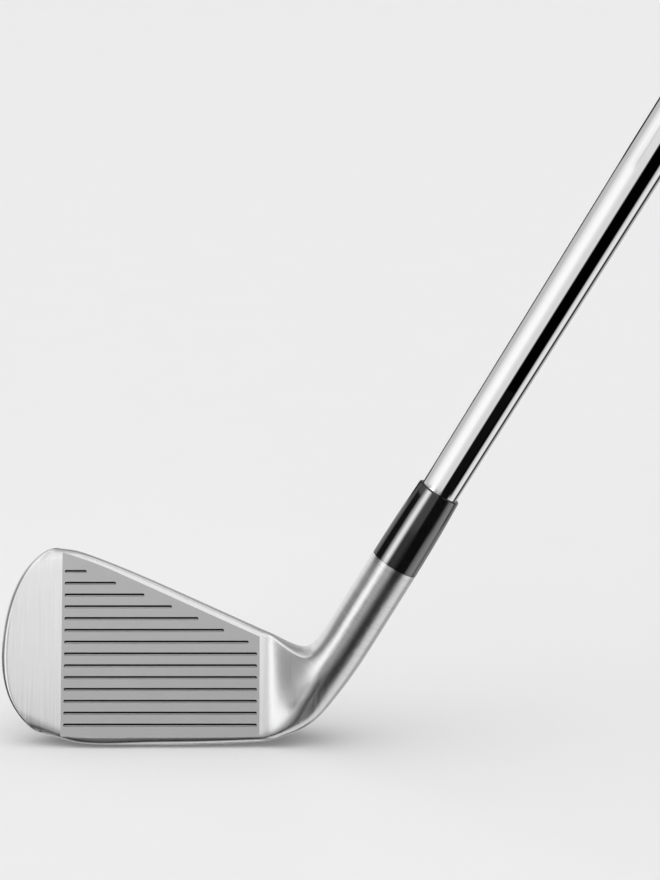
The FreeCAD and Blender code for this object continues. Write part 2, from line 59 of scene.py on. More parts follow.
MM = 0.001
cad_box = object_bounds()
mounts = {mount["name"]: mount for mount in frame["record"]["mounts"]}

# The shaft's line, and the plane of the face.
SHAFT_DIRECTION = Vector(mounts["vent_hole"]["axis"]).normalized()
GRIP_END = Vector(mounts["vent_hole"]["pos_m"])
SHAFT_FOOT = GRIP_END - SHAFT_DIRECTION * (GRIP_END.z / SHAFT_DIRECTION.z)
FACE_NORMAL = Vector(mounts["striking_face"]["axis"]).normalized()
FACE_MIDDLE = Vector(mounts["striking_face"]["pos_m"])
FACE_UP = Vector((0, 0, 1)) - FACE_NORMAL * FACE_NORMAL.z
FACE_UP.normalize()
TOE_TO_HEEL = Vector((1, 0, 0))
# Two directions square to the shaft and to each other.
SHAFT_SIDE = SHAFT_DIRECTION.cross(Vector((0, 1, 0))).normalized()
SHAFT_THIRD = SHAFT_DIRECTION.cross(SHAFT_SIDE)


def span(node):
    """How far along the shaft's line a CAD node starts and ends."""
    along = [(vertex.co - SHAFT_FOOT).dot(SHAFT_DIRECTION) for vertex in frame["nodes"][node].data.vertices]
    return min(along), max(along)


def on_shaft(along):
    """The point of the shaft's line at that distance from the ground."""
    return SHAFT_FOOT + SHAFT_DIRECTION * along


# The ferrule starts where the hosel ends.
HOSEL_TOP, FERRULE_TOP = span("ferrule")


# ---------------------------------------------------------------- camera

VIEW_ELEVATION = math.radians(12.5)
VIEW_DISTANCE = 0.900
VIEW_HEIGHT = 14.97  # degrees, the camera's angle from the bottom of the picture to its top
SENSOR = 36.0  # millimetres, the sensor's height
CLIP_START = 0.01
# The picture's middle is a little higher than the ferrule, between the toe and the shaft.
VIEW_TARGET = Vector((0.0476, 0, 0.0840))
TOWARDS_CAMERA = Vector((0, -math.cos(VIEW_ELEVATION), math.sin(VIEW_ELEVATION)))


def camera():
    """Looks at the club's face side, from a little above it."""
    data = bpy.data.cameras.new("camera")
    data.sensor_fit = "VERTICAL"
    data.sensor_height = SENSOR
    data.lens = SENSOR / 2 / math.tan(math.radians(VIEW_HEIGHT) / 2)
    data.clip_start = CLIP_START
    eye = bpy.data.objects.new("camera", data)
    eye.location = VIEW_TARGET + TOWARDS_CAMERA * VIEW_DISTANCE
    eye.rotation_euler = TOWARDS_CAMERA.to_track_quat("Z", "Y").to_euler()
    bpy.context.scene.collection.objects.link(eye)
    bpy.context.scene.camera = eye


# ---------------------------------------------------------------- materials

BRUSHING_RANGE = (-0.2, 1.2)  # stretches the noise, which seldom comes near 0 or 1


class Paint:
    """A procedural material under construction.  Its methods add shader nodes and return sockets."""

    def __init__(self, name):
        self.material = bpy.data.materials.new(name)
        self.material.use_nodes = True
        self.tree = self.material.node_tree
        self.tree.nodes.clear()
        coordinates = self.tree.nodes.new("ShaderNodeTexCoord")
        self.place = self.vector("SCALE", coordinates.outputs["Object"], scale=1 / MM)

    def put(self, socket, value):
        """Links a socket to a value that is a socket, or sets it."""
        if isinstance(value, bpy.types.NodeSocket):
            self.tree.links.new(value, socket)
        else:
            socket.default_value = value

    def vector(self, operation, first, second=None, scale=None):
        """One step of vector arithmetic."""
        node = self.tree.nodes.new("ShaderNodeVectorMath")
        node.operation = operation
        self.put(node.inputs[0], first)
        if second is not None:
            self.put(node.inputs[1], second)
        if scale is not None:
            self.put(node.inputs["Scale"], scale)
        return node.outputs["Value" if operation == "DOT_PRODUCT" else "Vector"]

    def math(self, operation, *values):
        """One step of arithmetic."""
        node = self.tree.nodes.new("ShaderNodeMath")
        node.operation = operation
        for socket, value in zip(node.inputs, values):
            self.put(socket, value)
        return node.outputs["Value"]

    def times(self, value, *others):
        """The product of all the values."""
        for other in others:
            value = self.math("MULTIPLY", value, other)
        return value

    def along(self, direction, origin):
        """Millimetres from a point, along a direction."""
        offset = self.vector("DOT_PRODUCT", self.place, tuple(direction))
        return self.math("SUBTRACT", offset, origin.dot(direction) / MM)

    def combine(self, *values):
        """A vector from its three numbers."""
        node = self.tree.nodes.new("ShaderNodeCombineXYZ")
        for socket, value in zip(node.inputs, values):
            self.put(socket, value)
        return node.outputs["Vector"]

    def noise(self, where, size=1.0, detail=2.0, roughness=0.5):
        """Noise from 0 to 1, whose blotches are about that many millimetres."""
        node = self.tree.nodes.new("ShaderNodeTexNoise")
        self.put(node.inputs["Vector"], where)
        node.inputs["Scale"].default_value = 1 / size
        node.inputs["Detail"].default_value = detail
        node.inputs["Roughness"].default_value = roughness
        return node.outputs["Fac"]

    def fade(self, value, start, end):
        """Goes smoothly from 0 to 1 as the value goes from start to end."""
        node = self.tree.nodes.new("ShaderNodeMapRange")
        node.interpolation_type = "SMOOTHSTEP"
        self.put(node.inputs["From Min"], start)
        self.put(node.inputs["From Max"], end)
        self.put(node.inputs["Value"], value)
        return node.outputs["Result"]

    def spread(self, value, low, high):
        """Maps 0 to 1 onto low to high."""
        node = self.tree.nodes.new("ShaderNodeMapRange")
        self.put(node.inputs["To Min"], low)
        self.put(node.inputs["To Max"], high)
        self.put(node.inputs["Value"], value)
        return node.outputs["Result"]

    def mix(self, factor, first, second):
        """The first value where the factor is 0, and the second where it is 1."""
        node = self.tree.nodes.new("ShaderNodeMix")
        self.put(node.inputs["Factor"], factor)
        self.put(node.inputs["A"], first)
        self.put(node.inputs["B"], second)
        return node.outputs["Result"]

    def grey(self, value, warmth=0.0):
        """A grey of that brightness, a little warmer or cooler."""
        node = self.tree.nodes.new("ShaderNodeCombineColor")
        self.put(node.inputs["Red"], self.math("MULTIPLY", value, 1 + warmth))
        self.put(node.inputs["Green"], value)
        self.put(node.inputs["Blue"], self.math("MULTIPLY", value, 1 - warmth))
        return node.outputs["Color"]

    def bump(self, height, depth):
        """Raises the surface by up to that many millimetres."""
        node = self.tree.nodes.new("ShaderNodeBump")
        node.inputs["Distance"].default_value = depth * MM
        self.put(node.inputs["Height"], height)
        return node.outputs["Normal"]

    def brushing(self, across, line, origin, pitch, length):
        """Fine lines that run along one direction and vary quickly across it."""
        third = across.cross(line)
        where = self.combine(
            self.math("DIVIDE", self.along(across, origin), pitch),
            self.math("DIVIDE", self.along(line, origin), length),
            self.math("DIVIDE", self.along(third, origin), length),
        )
        return self.spread(self.noise(where, detail=4.0, roughness=0.6), *BRUSHING_RANGE)

    def finish(self, colour, roughness, normal=None, **constants):
        """Closes the material.  The constants are set straight on the shader's sockets."""
        shader = self.tree.nodes.new("ShaderNodeBsdfPrincipled")
        output = self.tree.nodes.new("ShaderNodeOutputMaterial")
        self.put(shader.inputs["Base Color"], colour)
        self.put(shader.inputs["Roughness"], roughness)
        if normal is not None:
            self.put(shader.inputs["Normal"], normal)
        for name, value in constants.items():
            shader.inputs[name.replace("_", " ")].default_value = value
        self.tree.links.new(shader.outputs["BSDF"], output.inputs["Surface"])
        return self.material


def plate_reach():
    """The face plate's toe end, heel end and foot, in millimetres from the face's middle."""
    places = [(vertex.co - FACE_MIDDLE) / MM for vertex in frame["nodes"]["face_plate"].data.vertices]
    across = [place.dot(TOE_TO_HEEL) for place in places]
    return min(across), max(across), min(place.dot(FACE_UP) for place in places)


# The satin steel's zones, in millimetres.  Each pair is where a zone begins and where it is full.
HOSEL_START = (16, 34)            # up the shaft's line
FRONT_EDGE = (0.4, 0.1)           # behind the face
# Painted shade: a dark strip along the leading edge, below the face plate.
PAINTED_EDGE_TOE_END = (-1, 2)            # from the plate's toe end
PAINTED_EDGE_HEEL_END = (6, 0)            # from the plate's heel end
PAINTED_EDGE_TOP = (0.2, -0.3)            # up the face from the plate's foot
PAINTED_EDGE_BACK = (0.5, 0.2)            # behind the face
PAINTED_EDGE_SHADE = 0.3
# Painted shade: a thin dark line where the toe's rim starts, inside its edge.
TOE_LINE_FRONT = (0.008, 0.018)   # behind the face
TOE_LINE_BACK = (0.065, 0.045)    # behind the face
TOE_LINE_HEEL_END = (-2, -7)      # from the plate's toe end
TOE_LINE_FOOT = (5, 9)            # up the face from the plate's foot
TOE_LINE_TOP = (36, 28)           # up the face from the plate's foot
TOE_LINE_SHADE = 0.68


def shifted(pair, by):
    """The same fade, starting and ending that much further on."""
    return pair[0] + by, pair[1] + by


def painted_dark_edge(paint, across, height, depth):
    """The leading edge's shade: painted shade darkens it below the face plate, and it is 1 elsewhere."""
    toe, heel, foot = plate_reach()
    darkened = paint.times(
        paint.fade(across, *shifted(PAINTED_EDGE_TOE_END, toe)),
        paint.fade(across, *shifted(PAINTED_EDGE_HEEL_END, heel)),
        paint.fade(height, *shifted(PAINTED_EDGE_TOP, foot)),
        paint.fade(depth, *PAINTED_EDGE_BACK),
    )
    return paint.spread(darkened, 1.0, PAINTED_EDGE_SHADE)


def painted_toe_line(paint, across, height, depth):
    """The toe's shade: painted shade makes a thin dark line where its rim starts, and it is 1 elsewhere."""
    toe, _, foot = plate_reach()
    line = paint.times(
        paint.fade(depth, *TOE_LINE_FRONT),
        paint.fade(depth, *TOE_LINE_BACK),
        paint.fade(across, *shifted(TOE_LINE_HEEL_END, toe)),
        paint.fade(height, *shifted(TOE_LINE_FOOT, foot)),
        paint.fade(height, *shifted(TOE_LINE_TOP, foot)),
    )
    return paint.spread(line, 1.0, TOE_LINE_SHADE)


def satin_steel():
    """Satin chrome plate: rings on the hosel, upright brushing in front, lengthwise brushing elsewhere."""
    paint = Paint("satin_steel")
    across = paint.along(TOE_TO_HEEL, FACE_MIDDLE)
    height = paint.along(FACE_UP, FACE_MIDDLE)
    depth = paint.along(-FACE_NORMAL, FACE_MIDDLE)
    on_hosel = paint.fade(paint.along(SHAFT_DIRECTION, SHAFT_FOOT), *HOSEL_START)
    on_front = paint.fade(depth, *FRONT_EDGE)
    rings = paint.brushing(SHAFT_DIRECTION, SHAFT_SIDE, SHAFT_FOOT, pitch=0.4, length=70)
    lengthwise = paint.brushing(FACE_UP, TOE_TO_HEEL, FACE_MIDDLE, pitch=0.3, length=16)
    upright = paint.brushing(TOE_TO_HEEL, FACE_UP, FACE_MIDDLE, pitch=0.3, length=22)
    brushed = paint.mix(on_hosel, paint.mix(on_front, lengthwise, upright), rings)
    cloud = paint.noise(paint.place, size=9)
    shade = paint.times(
        paint.mix(on_hosel, paint.spread(brushed, 0.70, 0.86), paint.spread(rings, 0.63, 0.93)),
        paint.spread(cloud, 0.96, 1.02),
        # Painted shade along the leading edge, below the face plate.
        painted_dark_edge(paint, across, height, depth),
        # Painted shade in a thin line where the toe's rim starts.
        painted_toe_line(paint, across, height, depth),
    )
    roughness = paint.math("ADD", paint.spread(brushed, 0.17, 0.30), paint.spread(cloud, -0.02, 0.02))
    relief = paint.bump(paint.times(brushed, paint.spread(on_hosel, 0.6, 1.3)), 0.005)
    return paint.finish(paint.grey(shade), roughness, relief, Metallic=1.0)


# The grooves, in millimetres.
GROOVE_PITCH = 3.228
GROOVE_FLOOR = 0.3                # behind the face; only the grooves' floors are that deep
GROOVE_EDGE = (0.03, 0.08)        # behind the face
GROOVE_SHADOW = (-0.12, -0.02)    # up the face from a groove's middle
# Painted shade and painted light in the grooves: dark in the upper half of the floor and on walls that face
# down or sideways, lighter on walls that face up.
GROOVE_DARK, FLOOR_LIT, WALL_LIT = 0.02, 0.62, 0.74
# How far a wall's normal points along the face's normal, and up the face.
STEEP_WALL = (0.95, 0.75)
WALL_FACING_UP = (0.6, 0.9)


def lowest_groove():
    """The middle of the lowest groove's floor, in millimetres up the face from its middle."""
    heights = []
    for vertex in frame["nodes"]["face_plate"].data.vertices:
        place = (vertex.co - FACE_MIDDLE) / MM
        if GROOVE_FLOOR < -place.dot(FACE_NORMAL) < 2 * GROOVE_FLOOR:
            heights.append(place.dot(FACE_UP))
    lowest = min(heights)
    floor = [height for height in heights if height < lowest + GROOVE_PITCH / 2]
    return (lowest + max(floor)) / 2


def face_steel():
    """The blasted scoring area.  Painted shade darkens a groove's upper half and its ends, and painted light
    brightens it below.
    """
    paint = Paint("face_steel")
    normal = paint.tree.nodes.new("ShaderNodeNewGeometry").outputs["Normal"]
    in_groove = paint.fade(paint.along(-FACE_NORMAL, FACE_MIDDLE), *GROOVE_EDGE)
    on_wall = paint.fade(paint.vector("DOT_PRODUCT", normal, tuple(FACE_NORMAL)), *STEEP_WALL)
    facing_up = paint.fade(paint.vector("DOT_PRODUCT", normal, tuple(FACE_UP)), *WALL_FACING_UP)
    grain = paint.noise(paint.place, size=0.22, detail=3, roughness=0.7)
    cloud = paint.noise(paint.place, size=11)
    blasted = paint.times(paint.spread(grain, 0.56, 0.66), paint.spread(cloud, 0.97, 1.03))
    up = paint.math("SUBTRACT", paint.along(FACE_UP, FACE_MIDDLE), lowest_groove())
    up = paint.math("WRAP", up, GROOVE_PITCH / 2, -GROOVE_PITCH / 2)
    # Painted shadow on the upper half of each groove's floor, painted shade on walls that don't face up, and
    # painted light on walls that do.
    floor_shade = paint.mix(paint.fade(up, *GROOVE_SHADOW), FLOOR_LIT, GROOVE_DARK)
    wall_shade = paint.mix(facing_up, GROOVE_DARK, WALL_LIT)
    shade = paint.mix(in_groove, blasted, paint.mix(on_wall, floor_shade, wall_shade))
    relief = paint.bump(grain, 0.012)
    return paint.finish(paint.grey(shade), paint.spread(grain, 0.44, 0.56), relief, Metallic=1.0)


def mirror_chrome():
    """Polished chrome plate with faint handling marks."""
    paint = Paint("shaft_chrome")
    haze = paint.noise(paint.place, size=4, detail=4, roughness=0.7)
    scuff = paint.brushing(SHAFT_SIDE, SHAFT_DIRECTION, SHAFT_FOOT, pitch=0.5, length=60)
    shade = paint.spread(haze, 0.86, 0.92)
    roughness = paint.math("ADD", paint.spread(haze, 0.02, 0.05), paint.spread(scuff, 0.0, 0.03))
    return paint.finish(paint.grey(shade), roughness, Metallic=1.0)


def gloss_black():
    """The polished plastic of the ferrule, with faint rings from its buffing wheel."""
    paint = Paint("ferrule_black")
    rings = paint.brushing(SHAFT_DIRECTION, SHAFT_SIDE, SHAFT_FOOT, pitch=0.5, length=12)
    haze = paint.noise(paint.place, size=3, detail=3)
    shade = paint.spread(haze, 0.004, 0.007)
    roughness = paint.math("ADD", paint.spread(rings, 0.07, 0.12), paint.spread(haze, -0.02, 0.02))
    relief = paint.bump(rings, 0.0006)
    return paint.finish(paint.grey(shade), roughness, relief, Specular_IOR_Level=0.8)


def rubber(name, shade_low, shade_high):
    """Moulded rubber: a fine grain and a soft sheen where hands polish it."""
    paint = Paint(name)
    grain = paint.noise(paint.place, size=0.35, detail=4, roughness=0.7)
    polish = paint.noise(paint.place, size=22, detail=2)
    shade = paint.times(paint.spread(grain, shade_low, shade_high), paint.spread(polish, 0.85, 1.2))
    roughness = paint.math("SUBTRACT", paint.spread(grain, 0.62, 0.78), paint.spread(polish, 0.0, 0.14))
    relief = paint.bump(grain, 0.05)
    return paint.finish(paint.grey(shade), roughness, relief, Specular_IOR_Level=0.4)


def plain_metal(name, low, high, rough_low, rough_high, size=0.4):
    """Turned or sintered metal with an even grain."""
    paint = Paint(name)
    grain = paint.noise(paint.place, size=size, detail=4, roughness=0.6)
    relief = paint.bump(grain, 0.01)
    shade = paint.spread(grain, low, high)
    return paint.finish(paint.grey(shade), paint.spread(grain, rough_low, rough_high), relief, Metallic=1.0)


def soft_filler(name, low, high, warmth, size=0.6):
    """Foam, tape or resin inside the club."""
    paint = Paint(name)
    grain = paint.noise(paint.place, size=size, detail=4, roughness=0.6)
    relief = paint.bump(grain, 0.06)
    shade = paint.spread(grain, low, high)
    return paint.finish(paint.grey(shade, warmth), paint.spread(grain, 0.6, 0.8), relief)


def badge_metal():
    """Dark anodised aluminium, brushed along its length."""
    paint = Paint("badge_aluminium")
    lines = paint.brushing(FACE_UP, TOE_TO_HEEL, FACE_MIDDLE, pitch=0.2, length=14)
    shade = paint.spread(lines, 0.09, 0.16)
    relief = paint.bump(lines, 0.006)
    return paint.finish(paint.grey(shade), paint.spread(lines, 0.26, 0.42), relief, Metallic=1.0)


# The decal's pale rings, in millimetres from the band's ends.
RING_OUTSIDE = (-3.2, -3.4)
RING_INSIDE = (-4.6, -4.4)
RING_SHADE = 0.55


def decal_film():
    """The printed film round the shaft: dark, with two thin pale rings."""
    paint = Paint("band")
    low, high = span("shaft_band")
    up_shaft = paint.along(SHAFT_DIRECTION, SHAFT_FOOT)
    middle = (low + high) / 2 / MM
    reach = (high - low) / 2 / MM
    from_middle = paint.math("ABSOLUTE", paint.math("SUBTRACT", up_shaft, middle))
    on_ring = paint.times(
        paint.fade(from_middle, *shifted(RING_INSIDE, reach)),
        paint.fade(from_middle, *shifted(RING_OUTSIDE, reach)),
    )
    grain = paint.noise(paint.place, size=0.5, detail=3)
    shade = paint.mix(on_ring, paint.spread(grain, 0.020, 0.028), RING_SHADE)
    return paint.finish(paint.grey(shade, -0.04), paint.spread(grain, 0.22, 0.34))


# ---------------------------------------------------------------- grip

GRIP_AROUND = 144             # points round the grip
GRIP_STEP = 0.6 * MM
DIAMONDS = 16                 # round the grip
DIAMOND_LENGTH = 7.0 * MM
CHANNEL_SHARE = 0.24          # of a diamond's width
CHANNEL_DEPTH = 0.55 * MM
SMOOTH_MOUTH = 9.0 * MM       # plain rubber before the diamonds start
SMOOTH_END = 26.0 * MM        # and after they end
PATTERN_FADE = 2 * MM         # over which the channels reach their depth
OUTSIDE = 1.1                 # times the bore's radius; what is wider is on the outside
PROFILE_DIGITS = 5            # places along the shaft's line are told apart to a hundredth of a millimetre


def outer_profile(node):
    """A turned CAD node's outside, as pairs of a place along the shaft's line and a radius; and its bore."""
    points = []
    for vertex in frame["nodes"][node].data.vertices:
        offset = vertex.co - SHAFT_FOOT
        along = offset.dot(SHAFT_DIRECTION)
        points.append((along, (offset - SHAFT_DIRECTION * along).length))
    bore = min(radius for _, radius in points)
    widest = {}
    for along, radius in points:
        if radius > bore * OUTSIDE:
            key = round(along, PROFILE_DIGITS)
            widest[key] = max(widest.get(key, 0), radius)
    return sorted(widest.items()), bore


def radius_at(profile, along):
    """The profile's radius at one place along the shaft's line."""
    for (start, low), (end, high) in zip(profile, profile[1:]):
        if along <= end:
            share = (along - start) / (end - start)
            return low + (high - low) * max(share, 0)
    return profile[-1][1]


def smooth(value):
    """Goes smoothly from 0 to 1 as the value does, and stays there beyond them."""
    value = min(max(value, 0), 1)
    return value * value * (3 - 2 * value)


def channel(turn, along):
    """1 in the middle of a channel between the grip's diamonds, and 0 on a diamond."""
    deepest = 0
    for lean in (1, -1):
        phase = (turn * DIAMONDS + lean * along / DIAMOND_LENGTH) % 1
        from_middle = abs(phase - 0.5) * 2
        deepest = max(deepest, smooth(1 - from_middle / CHANNEL_SHARE))
    return deepest


def point_ring(bm, along, radius_of):
    """A ring of points round the shaft's line, whose radius depends on the share of the turn."""
    row = []
    for step in range(GRIP_AROUND):
        turn = step / GRIP_AROUND
        outwards = SHAFT_SIDE * math.cos(2 * math.pi * turn) + SHAFT_THIRD * math.sin(2 * math.pi * turn)
        row.append(bm.verts.new(on_shaft(along) + outwards * radius_of(turn)))
    return row


def smooth_shaded(mesh):
    """Shades a mesh smoothly."""
    for polygon in mesh.polygons:
        polygon.use_smooth = True


def sleeve_mesh():
    """The grip's sleeve: out along its moulded outside, in at the cap, and back along its bore."""
    low, high = span("grip_sleeve")
    profile, bore = outer_profile("grip_sleeve")
    steps = round((high - low) / GRIP_STEP)
    bm = bmesh.new()
    rows = []
    for step in range(steps + 1):
        along = low + (high - low) * step / steps
        after_mouth = smooth((along - low - SMOOTH_MOUTH) / PATTERN_FADE)
        before_end = smooth((high - SMOOTH_END - along) / PATTERN_FADE)
        depth = CHANNEL_DEPTH * after_mouth * before_end
        outside = radius_at(profile, along)
        rows.append(point_ring(bm, along, lambda turn: outside - depth * channel(turn, along - low)))
    for along in (high, low):
        rows.append(point_ring(bm, along, lambda turn: bore))
    for first, second in zip(rows, rows[1:] + rows[:1]):
        for step in range(GRIP_AROUND):
            after = (step + 1) % GRIP_AROUND
            bm.faces.new((first[step], first[after], second[after], second[step]))
    bmesh.ops.recalc_face_normals(bm, faces=bm.faces)
    mesh = bpy.data.meshes.new("grip_rubber_sleeve")
    bm.to_mesh(mesh)
    bm.free()
    smooth_shaded(mesh)
    return mesh


def grip():
    """The rubber sleeve, with moulded diamonds from its mouth nearly to its cap."""
    mesh = sleeve_mesh()
    mesh.materials.append(rubber("grip_rubber", 0.012, 0.022))
    sleeve = bpy.data.objects.new("grip_rubber_sleeve", mesh)
    bpy.context.scene.collection.objects.link(sleeve)
    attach(sleeve, "root")
    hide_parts("grip_sleeve")


# ---------------------------------------------------------------- what each CAD node is made of

def dress(node, material):
    """Gives a CAD node its material."""
    mesh = frame["nodes"][node].data
    mesh.materials.clear()
    mesh.materials.append(material)
    smooth_shaded(mesh)


def dress_all():
    """Gives every CAD node its material, but the sleeve, which its moulded piece replaces."""
    tape = soft_filler("tape", 0.55, 0.66, 0.08)
    dense = plain_metal("dense_metal", 0.26, 0.34, 0.45, 0.6)
    dress("head_body", satin_steel())
    dress("face_plate", face_steel())
    dress("foam_core", soft_filler("foam", 0.62, 0.74, 0.06, size=1.2))
    dress("toe_weight", dense)
    dress("tip_weight", dense)
    dress("port_screw", plain_metal("screw_steel", 0.45, 0.55, 0.25, 0.4, size=0.2))
    dress("back_badge", badge_metal())
    dress("badge_tape", tape)
    dress("ferrule", gloss_black())
    dress("hosel_epoxy", soft_filler("epoxy", 0.42, 0.5, 0.12))
    dress("shaft", mirror_chrome())
    dress("shaft_band", decal_film())
    dress("grip_tape", tape)
    dress("grip_cap", rubber("cap_rubber", 0.010, 0.018))


# ---------------------------------------------------------------- studio

# Square to the shaft: towards the camera's side, and to the picture's right.
FRONT = (TOWARDS_CAMERA - SHAFT_DIRECTION * TOWARDS_CAMERA.dot(SHAFT_DIRECTION)).normalized()
RIGHT = SHAFT_DIRECTION.cross(FRONT).normalized()

# The light tent is shaded round the shaft.  Each pair is an angle round the shaft in degrees, from the
# camera's side towards the right, and how bright the tent is there.
TENT = (
    (-180, 0.50), (-172, 0.40), (-166, 0.01), (-143, 0.01), (-136, 0.50), (-128, 0.56), (-106, 0.58),
    (-97, 0.72), (-81, 0.90), (-67, 1.03), (-50, 1.08), (-38, 1.05), (-29, 0.90), (-20, 0.79), (-11, 0.74),
    (6, 0.76), (13, 0.0006), (72, 0.0006), (80, 0.60), (97, 0.88), (108, 0.84), (113, 0.40), (117, 0.02),
    (131, 0.02), (138, 0.40), (150, 0.50), (180, 0.50),
)
# What the satin hosel and the heel mirror instead.
HOSEL_TENT = (
    (-180, 0.90), (-140, 0.90), (-120, 0.85), (-108, 0.56), (-98, 0.32), (-88, 0.26), (-73, 0.20),
    (-65, 0.34), (-57, 0.95), (-49, 1.30), (-38, 1.30), (-29, 0.58), (-21, 0.33), (-11, 0.43), (-3, 0.40),
    (6, 0.24), (14, 0.10), (24, 0.028), (36, 0.026), (46, 0.05), (56, 0.15), (66, 0.55), (80, 0.78),
    (102, 0.84), (112, 0.66), (121, 0.34), (130, 0.34), (140, 0.70),
)
# Cards just inside that panel, over its lower end, for the heel and its edge.
HEEL_CARD = ((-62, 0.26), (-35, 0.26))
EDGE_CARD = ((-26, 0.50), (-20, 0.36), (-14, 0.20), (-8, 0.08), (-3, 0.05), (8, 0.035))
# What the sole and the leading edge mirror.
SOLE_TENT = (
    (-150, 0.5), (-120, 0.12), (-60, 0.05), (-32, 0.06), (-24, 0.25), (-18, 0.25), (-13, 0.10), (-8, 0.05),
    (4, 0.05), (9, 0.5), (30, 0.75), (100, 0.8),
)
# What the flat face mirrors, round the shaft and along its line.
FACE_TENT = ((-60, 1.25), (-46, 1.25), (-34, 0.9), (-24, 1.0), (8, 1.0))
FACE_REACH = (
    (0.13, 0.76), (0.165, 0.80), (0.185, 0.90), (0.22, 1.07), (0.32, 1.10), (0.60, 0.8), (0.90, 0.45),
)
# Light added on the head body only, where the top line would mirror one of the tent's dark stretches.
TOP_LINE_LAMP = ((-172, 0), (-166, 0.34), (-143, 0.34), (-136, 0))
TOP_LINE_REACH = ((-0.1, 2.2), (0.15, 2.2), (0.35, 1), (2.0, 1))
# Strong lamps for the black ferrule, which reflects little, and dark cards beside them.
FERRULE_LAMP = (
    (-72, 0), (-70, 0.2), (-64, 2.4), (-57, 5.2), (-50, 9.8), (-45, 10.6), (-39, 9.8), (-33, 5.0),
    (-28, 0.9), (-24, 0),
)
FERRULE_SIDE_LAMP = (
    (57, 0), (64, 0.3), (70, 1.0), (84, 1.4), (95, 1.35), (103, 1.0), (110, 0.3), (122, 0.3), (138, 0.8),
)
FERRULE_CARD = ((-102, 0.005), (-68, 0.005))
FERRULE_SIDE_CARD = ((16, 0.005), (60, 0.005))
BACKGROUND = 0.862

# The panels' distances from the shaft's line, and how finely their curve is divided.
CARD, CLOSE, NEAR, FAR = 0.03, 0.06, 0.25, 0.60
BEFORE_NEAR = NEAR - 0.01
PANEL_STEPS = 48
# Where panels start and end, as places along the shaft's line, which are negative below the ground.
SOLE_START, HEEL_START, HEEL_END, EDGE_END = -0.60, -0.120, -0.074, -0.045
FERRULE_LAMP_END = FERRULE_TOP + 0.025
# A reflected ray goes this far down the shaft for each metre that it goes outwards from it.
RAY_SLOPE = 0.189


def shading(tree, value, stops):
    """A ramp over a value, through pairs of the value and a brightness.  Returns the ramp and its peak."""
    low, high = stops[0][0], stops[-1][0]
    peak = max(level for _, level in stops)
    share = tree.nodes.new("ShaderNodeMapRange")
    share.inputs["From Min"].default_value = low
    share.inputs["From Max"].default_value = high
    tree.links.new(value, share.inputs["Value"])
    ramp = tree.nodes.new("ShaderNodeValToRGB")
    tree.links.new(share.outputs["Result"], ramp.inputs["Fac"])
    elements = ramp.color_ramp.elements
    while len(elements) < len(stops):
        elements.new(0.5)
    for element, (place, level) in zip(elements, stops):
        element.position = (place - low) / (high - low)
        element.color = (level / peak, level / peak, level / peak, 1)
    return ramp.outputs["Color"], peak


def turn_round_shaft(tree, place):
    """The angle round the shaft, in degrees, of a direction or of a place seen from the shaft's line."""
    parts = []
    for axis in (RIGHT, FRONT):
        dot = tree.nodes.new("ShaderNodeVectorMath")
        dot.operation = "DOT_PRODUCT"
        tree.links.new(place, dot.inputs[0])
        dot.inputs[1].default_value = tuple(axis)
        parts.append(dot.outputs["Value"])
    angle = tree.nodes.new("ShaderNodeMath")
    angle.operation = "ARCTAN2"
    tree.links.new(parts[0], angle.inputs[0])
    tree.links.new(parts[1], angle.inputs[1])
    degrees = tree.nodes.new("ShaderNodeMath")
    degrees.operation = "DEGREES"
    tree.links.new(angle.outputs["Value"], degrees.inputs[0])
    return degrees.outputs["Value"]


def light_tent():
    """The world: a tent shaded round the shaft, which the metal mirrors, and a plain pale backdrop."""
    world = bpy.data.worlds.new("light_tent")
    bpy.context.scene.world = world
    world.use_nodes = True
    tree = world.node_tree
    tree.nodes.clear()
    direction = tree.nodes.new("ShaderNodeTexCoord").outputs["Generated"]
    tent = tree.nodes.new("ShaderNodeBackground")
    colour, peak = shading(tree, turn_round_shaft(tree, direction), TENT)
    tree.links.new(colour, tent.inputs["Color"])
    tent.inputs["Strength"].default_value = peak
    backdrop = tree.nodes.new("ShaderNodeBackground")
    backdrop.inputs["Color"].default_value = (BACKGROUND, BACKGROUND, BACKGROUND, 1)
    seen = tree.nodes.new("ShaderNodeLightPath").outputs["Is Camera Ray"]
    mix = tree.nodes.new("ShaderNodeMixShader")
    tree.links.new(seen, mix.inputs[0])
    tree.links.new(tent.outputs["Background"], mix.inputs[1])
    tree.links.new(backdrop.outputs["Background"], mix.inputs[2])
    output = tree.nodes.new("ShaderNodeOutputWorld")
    tree.links.new(mix.outputs["Shader"], output.inputs["Surface"])


def mirrored_at(along, radius):
    """Where on a panel of that radius a place on the shaft's line is mirrored from."""
    return along - radius * RAY_SLOPE


def panel_mesh(name, around, radius, start, end):
    """A curved strip round the shaft's line."""
    first, last = around[0][0], around[-1][0]
    points = []
    for step in range(PANEL_STEPS + 1):
        angle = math.radians(first + (last - first) * step / PANEL_STEPS)
        outwards = FRONT * math.cos(angle) + RIGHT * math.sin(angle)
        points += [on_shaft(start) + outwards * radius, on_shaft(end) + outwards * radius]
    faces = [(2 * step, 2 * step + 1, 2 * step + 3, 2 * step + 2) for step in range(PANEL_STEPS)]
    mesh = bpy.data.meshes.new(name)
    mesh.from_pydata(points, [], faces)
    return mesh


